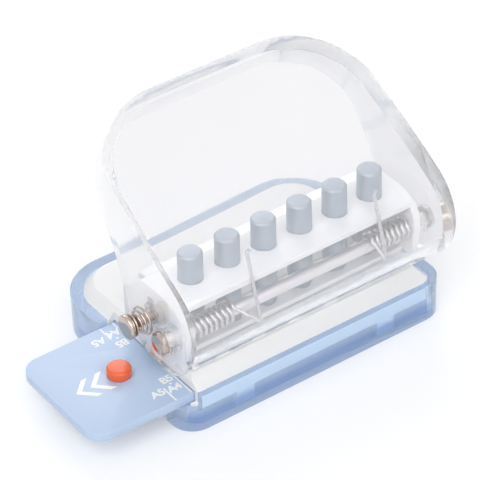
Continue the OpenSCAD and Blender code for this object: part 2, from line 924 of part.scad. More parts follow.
module frame_screws() {
    color(steel)
        for (s = [-1, 1], y = screw_ys)
            translate([s * screw_x, y, 0])
                difference() {
                    union() {
                        translate([0, 0, deck_under - screw_head_t])
                            cylinder(d = screw_head_d, h = screw_head_t);
                        translate([0, 0, deck_under - eps])
                            cylinder(d = screw_d, h = deck_t + foot_t - screw_room);
                    }
                    for (turn = [0, 90])
                        rotate(turn)
                            translate([-drive_w / 2, -drive_len / 2, deck_under - screw_head_t - over])
                                cube([drive_w, drive_len, over + drive_deep]);
                }
}

chip_tray();
base_housing();
die_plate();
top_plate();
cheek_left();
cheek_right();
guide_plate();
punch_1();
punch_2();
punch_3();
punch_4();
punch_5();
punch_6();
lifter_plate();
lifter_spring_left();
lifter_spring_right();
hinge_shaft();
shaft_cap_left();
shaft_cap_right();
torsion_spring_left();
torsion_spring_right();
lever();
lock_pin();
lock_ring();
lock_spring();
gauge_ruler();
gauge_button();
frame_screws();
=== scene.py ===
"""Looks of a six-hole paper punch with a clear press lever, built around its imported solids.

Every length is in metres and every place is in the part's own frame: +X along the punch row,
+Y away from the paper side, +Z up, with the origin in the middle of the tray's underside.
"""

import json
import logging
import math
from dataclasses import dataclass, field
from enum import Enum

import bmesh
import bpy
from mathutils import Matrix, Vector

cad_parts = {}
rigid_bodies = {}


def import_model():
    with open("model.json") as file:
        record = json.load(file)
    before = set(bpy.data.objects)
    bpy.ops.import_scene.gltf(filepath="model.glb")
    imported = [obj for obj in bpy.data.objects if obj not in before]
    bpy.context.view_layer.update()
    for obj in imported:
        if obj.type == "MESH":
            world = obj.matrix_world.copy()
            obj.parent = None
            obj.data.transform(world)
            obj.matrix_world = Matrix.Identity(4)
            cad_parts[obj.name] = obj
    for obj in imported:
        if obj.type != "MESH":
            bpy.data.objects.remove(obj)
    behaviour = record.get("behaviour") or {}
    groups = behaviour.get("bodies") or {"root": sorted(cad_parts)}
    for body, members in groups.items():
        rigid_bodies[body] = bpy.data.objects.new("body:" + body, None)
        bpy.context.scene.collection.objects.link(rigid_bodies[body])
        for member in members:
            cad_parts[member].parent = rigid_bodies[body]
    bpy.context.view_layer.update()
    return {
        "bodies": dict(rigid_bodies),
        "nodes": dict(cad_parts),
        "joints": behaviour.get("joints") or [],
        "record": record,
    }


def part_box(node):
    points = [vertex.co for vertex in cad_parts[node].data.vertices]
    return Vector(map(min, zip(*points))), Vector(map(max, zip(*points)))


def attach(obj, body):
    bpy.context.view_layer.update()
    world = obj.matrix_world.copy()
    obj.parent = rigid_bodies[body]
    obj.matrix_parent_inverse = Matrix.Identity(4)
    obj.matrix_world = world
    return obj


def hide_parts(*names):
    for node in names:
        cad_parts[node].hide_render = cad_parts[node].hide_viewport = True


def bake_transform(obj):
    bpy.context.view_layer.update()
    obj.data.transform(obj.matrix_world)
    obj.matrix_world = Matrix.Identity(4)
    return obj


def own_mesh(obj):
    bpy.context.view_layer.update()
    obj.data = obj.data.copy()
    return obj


LOG = logging.getLogger("paper_punch")
MM = 0.001
WELD = 0.0005 * MM
FLAT_DEGREES = 0.4
ACROSS = ("Across X", "Across Y", "Across Z")


class Body(str, Enum):
    """Rigid bodies of the part that pieces ride on."""

    TRAY = "tray"
    BASE = "base"
    PUNCHES = "punch_set"
    LEVER = "press_lever"
    LOCK = "lock"
    GAUGE = "gauge"


class Grain(Enum):
    """Direction of the fine lines that a metal piece was drawn or ground with."""

    ROW = (40.0, 900.0, 900.0)
    UPRIGHT = (900.0, 900.0, 40.0)
    EVEN = (500.0, 500.0, 500.0)


# Node helpers and shared shader effects


def set_inputs(node: bpy.types.Node, values: dict[str | int, object]) -> None:
    """Set a node's inputs.

    Args:
        node: The node.
        values: A value, or a socket to link, for each input, by its name or its place.
    """
    for place, value in values.items():
        if isinstance(value, bpy.types.NodeSocket):
            node.id_data.links.new(value, node.inputs[place])
        else:
            node.inputs[place].default_value = value


def add_node(tree: bpy.types.NodeTree, kind: str, values: dict[str | int, object] | None = None,
             **settings: object) -> bpy.types.Node:
    """Add a node to a tree.

    Args:
        tree: The tree that takes the node.
        kind: Type of the node.
        values: Its inputs, as set_inputs takes them.
        settings: Its own settings, by name.

    Returns:
        The new node.
    """
    node = tree.nodes.new(kind)
    for name, setting in settings.items():
        setattr(node, name, setting)
    set_inputs(node, values or {})
    return node


def new_group(name: str, inputs: dict[str, float], outputs: tuple[str, ...]
              ) -> tuple[bpy.types.NodeTree, bpy.types.Node, bpy.types.Node]:
    """Start a shader node group with named value sockets.

    Args:
        name: Name of the group.
        inputs: Default value of each input, by name.
        outputs: Name of each output.

    Returns:
        The new tree, its input node and its output node.
    """
    tree = bpy.data.node_groups.new(name, "ShaderNodeTree")
    for label, value in inputs.items():
        socket = tree.interface.new_socket(label, in_out="INPUT", socket_type="NodeSocketFloat")
        socket.default_value = value
    for label in outputs:
        tree.interface.new_socket(label, in_out="OUTPUT", socket_type="NodeSocketFloat")
    return tree, add_node(tree, "NodeGroupInput"), add_node(tree, "NodeGroupOutput")


@dataclass
class Effects:
    """Node groups that more than one finish uses."""

    moulded: bpy.types.NodeTree = field(init=False)
    handled: bpy.types.NodeTree = field(init=False)
    drawn: bpy.types.NodeTree = field(init=False)

    def build(self) -> None:
        """Build the three groups once."""
        self.moulded = self._moulded_skin()
        self.handled = self._handling_marks()
        self.drawn = self._drawn_lines()

    def _moulded_skin(self) -> bpy.types.NodeTree:
        """Fine pebble of a moulded plastic surface, with slow flow waves.

        Returns:
            A group with Scale and Waves inputs and Height and Shade outputs.
        """
        tree, start, end = new_group("moulded_skin", {"Scale": 3000.0, "Waves": 90.0},
                                     ("Height", "Shade"))
        place = add_node(tree, "ShaderNodeTexCoord").outputs["Object"]
        pebble = add_node(tree, "ShaderNodeTexNoise",
                          {"Vector": place, "Scale": start.outputs["Scale"], "Detail": 2.0})
        waves = add_node(tree, "ShaderNodeTexNoise",
                         {"Vector": place, "Scale": start.outputs["Waves"], "Detail": 1.0})
        both = add_node(tree, "ShaderNodeMath",
                        {0: pebble.outputs["Fac"], 1: 0.25, 2: waves.outputs["Fac"]},
                        operation="MULTIPLY_ADD")
        set_inputs(end, {"Height": both.outputs["Value"], "Shade": waves.outputs["Fac"]})
        return tree

    def _handling_marks(self) -> bpy.types.NodeTree:
        """Faint smudges and hairline scuffs of handling.

        Returns:
            A group with Scale, Low and High inputs and a Gloss output between Low and High.
        """
        tree, start, end = new_group("handling_marks", {"Scale": 160.0, "Low": 0.1, "High": 0.2},
                                     ("Gloss",))
        place = add_node(tree, "ShaderNodeTexCoord").outputs["Object"]
        smudge = add_node(tree, "ShaderNodeTexNoise",
                          {"Vector": place, "Scale": start.outputs["Scale"], "Detail": 4.0,
                           "Distortion": 0.6})
        spread = add_node(tree, "ShaderNodeMapRange",
                          {"Value": smudge.outputs["Fac"], "From Min": 0.35, "From Max": 0.7,
                           "To Min": start.outputs["Low"], "To Max": start.outputs["High"]})
        set_inputs(end, {"Gloss": spread.outputs["Result"]})
        return tree

    def _drawn_lines(self) -> bpy.types.NodeTree:
        """Fine lines that drawing or grinding leaves on metal.

        Returns:
            A group with the three line scales as inputs and a Lines output.
        """
        tree, start, end = new_group("drawn_lines", dict(zip(ACROSS, Grain.UPRIGHT.value)), ("Lines",))
        place = add_node(tree, "ShaderNodeTexCoord").outputs["Object"]
        scales = add_node(tree, "ShaderNodeCombineXYZ",
                          {label[-1]: start.outputs[label] for label in ACROSS})
        stretch = add_node(tree, "ShaderNodeVectorMath", {0: place, 1: scales.outputs["Vector"]},
                           operation="MULTIPLY")
        lines = add_node(tree, "ShaderNodeTexNoise",
                         {"Vector": stretch.outputs["Vector"], "Scale": 4.0, "Detail": 3.0})
        set_inputs(end, {"Lines": lines.outputs["Fac"]})
        return tree


def new_material(name: str) -> tuple[bpy.types.Material, bpy.types.Node]:
    """Start a material and give it with its Principled shader."""
    material = bpy.data.materials.new(name)
    material.use_nodes = True
    return material, material.node_tree.nodes["Principled BSDF"]


def place_group(material: bpy.types.Material, tree: bpy.types.NodeTree,
                values: dict[str, float]) -> bpy.types.Node:
    """Put a shared effect in a material.

    Args:
        material: The material that gets the effect.
        tree: The effect's node group.
        values: The material's own value for each named input.

    Returns:
        The group's node in the material.
    """
    return add_node(material.node_tree, "ShaderNodeGroup", values, node_tree=tree)


def shade_between(material: bpy.types.Material, source: bpy.types.NodeSocket,
                  dark: tuple[float, float, float], light: tuple[float, float, float],
                  low: float = 0.3, high: float = 0.7) -> bpy.types.NodeSocket:
    """Mix two colours by a mask that changes over the surface.

    Args:
        material: The material that holds the nodes.
        source: Mask from a shared effect.
        dark: Colour where the mask is low.
        light: Colour where the mask is high.
        low: Mask value that gives the dark colour.
        high: Mask value that gives the light colour.

    Returns:
        The colour output.
    """
    ramp = add_node(material.node_tree, "ShaderNodeValToRGB", {"Fac": source})
    for stop, place, colour in zip(ramp.color_ramp.elements, (low, high), (dark, light)):
        stop.position = place
        stop.color = (*colour, 1.0)
    return ramp.outputs["Color"]


def relief(material: bpy.types.Material, source: bpy.types.NodeSocket,
           depth: float) -> bpy.types.NodeSocket:
    """Turn a height into a bent normal.

    Args:
        material: The material that holds the node.
        source: Height from a shared effect.
        depth: Height of the relief in metres.

    Returns:
        The normal output.
    """
    bump = add_node(material.node_tree, "ShaderNodeBump",
                    {"Height": source, "Strength": 0.6, "Distance": depth})
    return bump.outputs["Normal"]


def darker(colour: tuple[float, float, float], share: float) -> tuple[float, float, float]:
    """Give a colour scaled by a share."""
    return tuple(channel * share for channel in colour)


# Finishes


@dataclass(frozen=True)
class PlasticFinish:
    """Opaque moulded plastic."""

    name: str
    colour: tuple[float, float, float]
    gloss_low: float = 0.25
    gloss_high: float = 0.4
    pebble: float = 2600.0
    depth: float = 0.012 * MM
    coat: float = 0.0
    coat_gloss: float = 0.08
    waves: float = 60.0
    smudges: float = 120.0
    contrast: float = 0.993

    def make(self, effects: Effects) -> bpy.types.Material:
        """Build the material.

        Args:
            effects: The shared node groups.

        Returns:
            The finished material.
        """
        material, shader = new_material(self.name)
        skin = place_group(material, effects.moulded, {"Scale": self.pebble, "Waves": self.waves})
        marks = place_group(material, effects.handled,
                            {"Scale": self.smudges, "Low": self.gloss_low, "High": self.gloss_high})
        tone = shade_between(material, skin.outputs["Shade"], darker(self.colour, self.contrast),
                             self.colour)
        set_inputs(shader, {"Base Color": tone, "Roughness": marks.outputs["Gloss"],
                            "Normal": relief(material, skin.outputs["Height"], self.depth),
                            "Coat Weight": self.coat, "Coat Roughness": self.coat_gloss})
        return material


@dataclass(frozen=True)
class ClearFinish:
    """See-through moulded plastic that bends what is behind it and lets lamps through."""

    name: str
    colour: tuple[float, float, float]
    haze_low: float
    haze_high: float
    transmission: float
    shadow: tuple[float, float, float]
    # Base colour where the surface is seen at a grazing angle; lighter than the colour, it is a painted
    # sheen.
    edge: tuple[float, float, float]
    bending: float
    sheen_blend: float = 0.3
    coat: float = 0.0
    edge_haze: float = 0.0
    haze_blend: float = 0.3
    # Base colour near the floor; darker, it is painted shade of the shaded space inside the tray.
    low_painted_shade: tuple[float, float, float] | None = None
    low_shadow: tuple[float, float, float] | None = None
    low_z: float = 3.0 * MM
    high_z: float = 5.5 * MM
    depth: float = 0.02 * MM
    waves: float = 45.0
    smudges: float = 90.0
    contrast: float = 0.985

    def make(self, effects: Effects) -> bpy.types.Material:
        """Build the material.

        Args:
            effects: The shared node groups.

        Returns:
            The finished material.
        """
        material, shader = new_material(self.name)
        tree = material.node_tree
        skin = place_group(material, effects.moulded, {"Waves": self.waves})
        marks = place_group(material, effects.handled,
                            {"Scale": self.smudges, "Low": self.haze_low, "High": self.haze_high})
        # Towards the floor the colour darkens: painted shade.
        if self.low_painted_shade:
            tone = self._by_height(material, self.low_painted_shade, self.colour)
        else:
            tone = shade_between(material, skin.outputs["Shade"], darker(self.colour, self.contrast),
                                 self.colour)
        # Toward grazing angles the colour mixes to the edge colour: a painted sheen.
        facing = add_node(tree, "ShaderNodeLayerWeight", {"Blend": self.sheen_blend})
        rim = add_node(tree, "ShaderNodeMix",
                       {"Factor": facing.outputs["Facing"], "A": tone, "B": (*self.edge, 1.0)},
                       data_type="RGBA")
        steep = add_node(tree, "ShaderNodeLayerWeight", {"Blend": self.haze_blend})
        haze = add_node(tree, "ShaderNodeMath",
                        {0: steep.outputs["Facing"], 1: self.edge_haze, 2: marks.outputs["Gloss"]},
                        operation="MULTIPLY_ADD")
        set_inputs(shader, {"Base Color": rim.outputs["Result"], "Roughness": haze.outputs["Value"],
                            "Normal": relief(material, skin.outputs["Shade"], self.depth),
                            "IOR": self.bending, "Transmission Weight": self.transmission,
                            "Coat Weight": self.coat, "Coat Roughness": self.haze_low})
        shadow = (*self.shadow, 1.0)
        if self.low_shadow:
            shadow = self._by_height(material, self.low_shadow, self.shadow)
        passing = add_node(tree, "ShaderNodeBsdfTransparent", {"Color": shadow})
        rays = add_node(tree, "ShaderNodeLightPath").outputs
        blend = add_node(tree, "ShaderNodeMixShader",
                         {"Fac": rays["Is Shadow Ray"], 1: shader.outputs["BSDF"],
                          2: passing.outputs["BSDF"]})
        set_inputs(tree.nodes["Material Output"], {"Surface": blend.outputs["Shader"]})
        return material

    def _by_height(self, material: bpy.types.Material, low: tuple[float, float, float],
                   high: tuple[float, float, float]) -> bpy.types.NodeSocket:
        """Change a colour with height, darker near the floor. On the base colour this is painted shade; on
        the shadow pass it lets less lamp light through low down.

        Args:
            material: The material that takes the nodes.
            low: The colour near the floor.
            high: The colour above.

        Returns:
            The colour output.
        """
        tree = material.node_tree
        place = add_node(tree, "ShaderNodeTexCoord").outputs["Object"]
        split = add_node(tree, "ShaderNodeSeparateXYZ", {"Vector": place})
        rise = add_node(tree, "ShaderNodeMapRange",
                        {"Value": split.outputs["Z"], "From Min": self.low_z, "From Max": self.high_z})
        return shade_between(material, rise.outputs["Result"], low, high)


@dataclass(frozen=True)
class MetalFinish:
    """Bare or plated metal with the fine lines of its making."""

    name: str
    colour: tuple[float, float, float]
    gloss_low: float
    gloss_high: float
    grain: Grain
    depth: float = 0.004 * MM
    contrast: float = 0.88
    metal: float = 1.0
    smudges: float = 260.0

    def make(self, effects: Effects) -> bpy.types.Material:
        """Build the material.

        Args:
            effects: The shared node groups.

        Returns:
            The finished material.
        """
        material, shader = new_material(self.name)
        lines = place_group(material, effects.drawn, dict(zip(ACROSS, self.grain.value)))
        marks = place_group(material, effects.handled,
                            {"Scale": self.smudges, "Low": self.gloss_low, "High": self.gloss_high})
        tone = shade_between(material, lines.outputs["Lines"], darker(self.colour, self.contrast),
                             self.colour)
        set_inputs(shader, {"Base Color": tone, "Roughness": marks.outputs["Gloss"],
                            "Normal": relief(material, lines.outputs["Lines"], self.depth),
                            "Metallic": self.metal})
        return material


class Finish(Enum):
    """Every finish that the punch shows."""

    # Both clear finishes take a lighter edge colour at grazing angles, a painted sheen.
    LEVER = ClearFinish("clear_lever", (0.85, 0.85, 0.865), 0.02, 0.07, 0.89, (0.92, 0.92, 0.935),
                        (1.0, 1.0, 1.0), 1.18, 0.35, 1.0, 0.22)
    # The tray's low colour is painted shade near the floor.
    TRAY = ClearFinish("blue_tray", (0.745, 0.85, 0.975), 0.1, 0.15, 0.78, (0.96, 0.98, 1.0),
                       (0.76, 0.88, 1.0), 1.3, low_painted_shade=(0.41, 0.555, 0.795),
                       low_shadow=(0.36, 0.48, 0.68))
    WHITE = PlasticFinish("white_moulding", (0.88, 0.88, 0.885), 0.4, 0.44)
    RULER = PlasticFinish("pale_blue_ruler", (0.51, 0.635, 0.83), 0.33, 0.37)
    BUTTON = PlasticFinish("orange_button", (0.86, 0.13, 0.03), 0.18, 0.3, coat=0.3)
    PRINT = PlasticFinish("white_print", (0.96, 0.96, 0.965), 0.4, 0.5, 5000.0, 0.004 * MM)
    PUNCH = MetalFinish("ground_punch", (0.45, 0.515, 0.585), 0.48, 0.6, Grain.UPRIGHT)
    STEEL = MetalFinish("plain_steel", (0.66, 0.67, 0.69), 0.25, 0.4, Grain.ROW)
    ZINC = MetalFinish("zinc_plate", (0.86, 0.87, 0.885), 0.5, 0.62, Grain.ROW, contrast=0.97, metal=0.1)
    SHAFT = MetalFinish("drawn_shaft", (0.95, 0.93, 0.935), 0.36, 0.46, Grain.ROW)
    NICKEL = MetalFinish("nickel_plate", (0.57, 0.49, 0.44), 0.06, 0.14, Grain.EVEN, 0.001 * MM, 0.95)
    WIRE = MetalFinish("spring_wire", (0.78, 0.76, 0.765), 0.18, 0.3, Grain.EVEN, 0.002 * MM, 0.93)


@dataclass
class Palette:
    """The finished materials, each made once."""

    effects: Effects
    made: dict[Finish, bpy.types.Material] = field(default_factory=dict)

    def of(self, finish: Finish) -> bpy.types.Material:
        """Give a finish's material.

        Args:
            finish: The finish wanted.

        Returns:
            Its material, made on first use.
        """
        if finish not in self.made:
            self.made[finish] = finish.value.make(self.effects)
        return self.made[finish]


# Mesh tools


def link_object(name: str, data: bpy.types.ID) -> bpy.types.Object:
    """Make an object from data and put it in the scene."""
    made = bpy.data.objects.new(name, data)
    bpy.context.scene.collection.objects.link(made)
    return made


def as_mesh(source: bpy.types.Object, name: str) -> bpy.types.Object:
    """Turn an evaluated object into a plain mesh piece at the origin.

    Args:
        source: Object with live modifiers, or a text.
        name: Name of the new piece.

    Returns:
        The plain mesh object; the source is removed.
    """
    bpy.context.view_layer.update()
    graph = bpy.context.evaluated_depsgraph_get()
    mesh = bpy.data.meshes.new_from_object(source.evaluated_get(graph), depsgraph=graph)
    mesh.transform(source.matrix_world)
    bpy.data.objects.remove(source)
    mesh.name = name
    return link_object(name, mesh)


def softened(frame: dict, node: str, width: float, segments: int = 3,
             limit: float = 28.0) -> bpy.types.Object:
    """Copy a solid and round its edges as a mould or a tumbler leaves them.

    Args:
        node: The solid's node.
        width: Width of the rounding.
        segments: Facets across the rounding.
        limit: Least angle of an edge that is rounded, in degrees.

    Returns:
        A new piece that stands for the node.
    """
    mesh = frame["nodes"][node].data.copy()
    mesh.materials.clear()
    work = bmesh.new()
    work.from_mesh(mesh)
    bmesh.ops.remove_doubles(work, verts=work.verts, dist=WELD)
    bmesh.ops.dissolve_limit(work, angle_limit=math.radians(FLAT_DEGREES), verts=work.verts,
                             edges=work.edges)
    work.to_mesh(mesh)
    work.free()
    mesh.shade_smooth()
    piece = link_object(node + "_rounded", mesh)
    bevel = piece.modifiers.new("rounding", "BEVEL")
    bevel.width = width
    bevel.segments = segments
    bevel.limit_method = "ANGLE"
    bevel.angle_limit = math.radians(limit)
    bevel.harden_normals = True
    bevel.miter_outer = "MITER_ARC"
    return as_mesh(piece, node + "_form")


def dress(piece: bpy.types.Object, material: bpy.types.Material) -> None:
    """Give a piece one material all over."""
    piece.data.materials.clear()
    piece.data.materials.append(material)
    for polygon in piece.data.polygons:
        polygon.material_index = 0


def joined(parts: list[bpy.types.Object], name: str) -> bpy.types.Object:
    """Join mesh objects into one piece.

    Args:
        parts: Mesh objects at the origin, which are removed.
        name: Name of the new piece.

    Returns:
        The joined piece.
    """
    work = bmesh.new()
    for part in parts:
        work.from_mesh(part.data)
        bpy.data.objects.remove(part)
    mesh = bpy.data.meshes.new(name)
    work.to_mesh(mesh)
    work.free()
    return link_object(name, mesh)


def slab(outline: list[tuple[float, float]], low: float, high: float, name: str) -> bpy.types.Object:
    """Make a thin printed shape from an outline that runs anticlockwise.

    Args:
        outline: Places in x and y.
        low: Height of its underside.
        high: Height of its top.
        name: Name of the piece.

    Returns:
        The piece, closed all round.
    """
    work = bmesh.new()
    face = work.faces.new([work.verts.new((x, y, low)) for x, y in outline])
    raised = bmesh.ops.extrude_face_region(work, geom=[face])
    moved = [item for item in raised["geom"] if isinstance(item, bmesh.types.BMVert)]
    bmesh.ops.translate(work, verts=moved, vec=(0.0, 0.0, high - low))
    bmesh.ops.recalc_face_normals(work, faces=work.faces)
    mesh = bpy.data.meshes.new(name)
    work.to_mesh(mesh)
    work.free()
    return link_object(name, mesh)


# Geometry Nodes


def new_shape_tree(name: str, inputs: dict[str, str]) -> bpy.types.Node:
    """Start a Geometry Nodes tree with a geometry input, named inputs and a geometry output.

    Args:
        name: Name of the tree.
        inputs: Socket type of each further input, by name.

    Returns:
        The new tree's input node.
    """
    tree = bpy.data.node_groups.new(name, "GeometryNodeTree")
    tree.interface.new_socket("Places", in_out="INPUT", socket_type="NodeSocketGeometry")
    for label, kind in inputs.items():
        tree.interface.new_socket(label, in_out="INPUT", socket_type=kind)
    tree.interface.new_socket("Shape", in_out="OUTPUT", socket_type="NodeSocketGeometry")
    return add_node(tree, "NodeGroupInput")


def close_shape_tree(start: bpy.types.Node, shape: bpy.types.NodeSocket) -> bpy.types.NodeTree:
    """End a tree in plain geometry.

    Args:
        start: The tree's input node.
        shape: Output that gives the made geometry.

    Returns:
        The whole tree.
    """
    tree = start.id_data
    plain = add_node(tree, "GeometryNodeRealizeInstances", {"Geometry": shape})
    add_node(tree, "NodeGroupOutput", {"Shape": plain.outputs["Geometry"]})
    return tree


@dataclass
class ShapeTrees:
    """Geometry Nodes trees for what follows a path or repeats."""

    wire: bpy.types.NodeTree = field(init=False)
    repeat: bpy.types.NodeTree = field(init=False)

    def build(self) -> None:
        """Build the two trees once."""
        self.wire = self._round_wire()
        self.repeat = self._repeated()

    def _round_wire(self) -> bpy.types.NodeTree:
        """Sweep a round wire along the edges that come in.

        Returns:
            A tree with Wire Radius and Sides inputs.
        """
        start = new_shape_tree("round_wire", {"Wire Radius": "NodeSocketFloat", "Sides": "NodeSocketInt"})
        tree = start.id_data
        path = add_node(tree, "GeometryNodeMeshToCurve", {"Mesh": start.outputs["Places"]})
        ring = add_node(tree, "GeometryNodeCurvePrimitiveCircle",
                        {"Resolution": start.outputs["Sides"], "Radius": start.outputs["Wire Radius"]})
        sweep = add_node(tree, "GeometryNodeCurveToMesh",
                         {"Curve": path.outputs["Curve"], "Profile Curve": ring.outputs["Curve"],
                          "Fill Caps": True})
        smooth = add_node(tree, "GeometryNodeSetShadeSmooth", {"Geometry": sweep.outputs["Mesh"]})
        return close_shape_tree(start, smooth.outputs["Geometry"])

    def _repeated(self) -> bpy.types.NodeTree:
        """Set one piece at each of the points that come in.

        Returns:
            A tree with a Piece input.
        """
        start = new_shape_tree("repeated_piece", {"Piece": "NodeSocketObject"})
        tree = start.id_data
        source = add_node(tree, "GeometryNodeObjectInfo", {"Object": start.outputs["Piece"]})
        set_out = add_node(tree, "GeometryNodeInstanceOnPoints",
                           {"Points": start.outputs["Places"], "Instance": source.outputs["Geometry"]})
        return close_shape_tree(start, set_out.outputs["Instances"])


def grown(name: str, places: list[Vector], chained: bool, tree: bpy.types.NodeTree,
          values: dict[str, object]) -> bpy.types.Object:
    """Run a Geometry Nodes tree over places and keep its plain mesh.

    Args:
        name: Name of the new piece.
        places: Points in the part's frame.
        chained: Whether each point is joined to the next, as a path.
        tree: The tree to run.
        values: Its inputs, by name.

    Returns:
        The plain mesh piece.
    """
    mesh = bpy.data.meshes.new(name + "_places")
    edges = [(i, i + 1) for i in range(len(places) - 1)] if chained else []
    mesh.from_pydata([tuple(place) for place in places], edges, [])
    host = link_object(name + "_host", mesh)
    modifier = host.modifiers.new("shape", "NODES")
    modifier.node_group = tree
    for item in tree.interface.items_tree:
        if item.item_type == "SOCKET" and item.in_out == "INPUT" and item.name in values:
            modifier[item.identifier] = values[item.name]
    return as_mesh(host, name)


# Sub-assemblies


@dataclass
class Bench:
    """What every sub-assembly works with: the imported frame, the finishes and the shape trees."""

    frame: dict
    palette: Palette
    trees: ShapeTrees

    def settle(self, piece: bpy.types.Object, finish: Finish, body: Body, *nodes: str) -> None:
        """Dress a piece, let it ride on its body and put it in its solids' place.

        Args:
            piece: The finished mesh.
            finish: Its finish.
            body: The body that carries it.
            nodes: The solids that it stands for.
        """
        dress(piece, self.palette.of(finish))
        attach(piece, body.value)
        if nodes:
            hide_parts(*nodes)
        LOG.info("%s on %s: %d faces", piece.name, body.value, len(piece.data.polygons))

    def round_off(self, node: str, width: float, finish: Finish, body: Body, segments: int = 3) -> None:
        """Put a solid's rounded copy in its place.

        Args:
            node: The solid's node.
            width: Width of the rounding.
            finish: The piece's finish.
            body: The body that carries it.
            segments: Facets across the rounding.
        """
        self.settle(softened(self.frame, node, width, segments), finish, body, node)

    def joint(self, name: str) -> dict:
        """Give a joint's entry by its name."""
        return next(joint for joint in self.frame["joints"] if joint["name"] == name)

    def lift_from_rest(self, x: float, v: float, n: float, angle: float) -> Vector:
        """Give the place of a point in the raised lever's own frame.

        Args:
            x: Along the punch row.
            v: Away from the hinge along the lever.
            n: Up from the hinge, square to the lever.
            angle: Lift of the lever in degrees.

        Returns:
            The place in the part's frame.
        """
        _, y, z = self.joint("lever_hinge")["pos_m"]
        turn = math.radians(angle)
        return Vector((x, y + v * math.cos(turn) - n * math.sin(turn),
                       z + v * math.sin(turn) + n * math.cos(turn)))


@dataclass
class PressLever:
    """The clear lever over the punches."""

    edge: float = 0.7 * MM

    def build(self, bench: Bench) -> None:
        """Round the lever's edges and make it clear."""
        bench.round_off("lever", self.edge, Finish.LEVER, Body.LEVER, segments=4)


@dataclass
class TrayUnit:
    """The see-through blue tray that takes the chips."""

    edge: float = 0.45 * MM

    def build(self, bench: Bench) -> None:
        """Round the tray's rim and corners."""
        bench.round_off("chip_tray", self.edge, Finish.TRAY, Body.TRAY, segments=4)


@dataclass
class BaseUnit:
    """Housing, frame plates, hinge shaft and screws."""

    moulded_edge: float = 0.3 * MM
    plate_edge: float = 0.12 * MM
    cap_edge: float = 0.2 * MM

    def build(self, bench: Bench) -> None:
        """Build the white mouldings, then the steel pieces."""
        for node in ("base_housing", "top_plate", "cheek_left", "cheek_right"):
            bench.round_off(node, self.moulded_edge, Finish.WHITE, Body.BASE)
        bench.round_off("guide_plate", self.plate_edge, Finish.ZINC, Body.BASE)
        for node in ("die_plate", "frame_screws"):
            bench.round_off(node, self.plate_edge, Finish.STEEL, Body.BASE)
        bench.round_off("hinge_shaft", self.plate_edge, Finish.SHAFT, Body.BASE)
        for side in ("left", "right"):
            bench.round_off("shaft_cap_" + side, self.cap_edge, Finish.NICKEL, Body.BASE)


@dataclass
class PunchUnit:
    """Six ground punches and the plate that lifts them."""

    count: int = 6
    edge: float = 0.1 * MM

    def build(self, bench: Bench) -> None:
        """Set one rounded punch at each place of the row, then the lifter plate."""
        nodes = ["punch_%d" % (i + 1) for i in range(self.count)]
        axes = [(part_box(node)[0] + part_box(node)[1]) / 2 for node in nodes]
        places = [Vector((axis.x, axis.y, 0.0)) for axis in axes]
        model = softened(bench.frame, nodes[0], self.edge)
        model.data.transform(Matrix.Translation(-places[0]))
        row = grown("punch_row", places, False, bench.trees.repeat, {"Piece": model})
        bpy.data.objects.remove(model)
        bench.settle(row, Finish.PUNCH, Body.PUNCHES, *nodes)
        bench.round_off("lifter_plate", self.edge, Finish.STEEL, Body.PUNCHES)


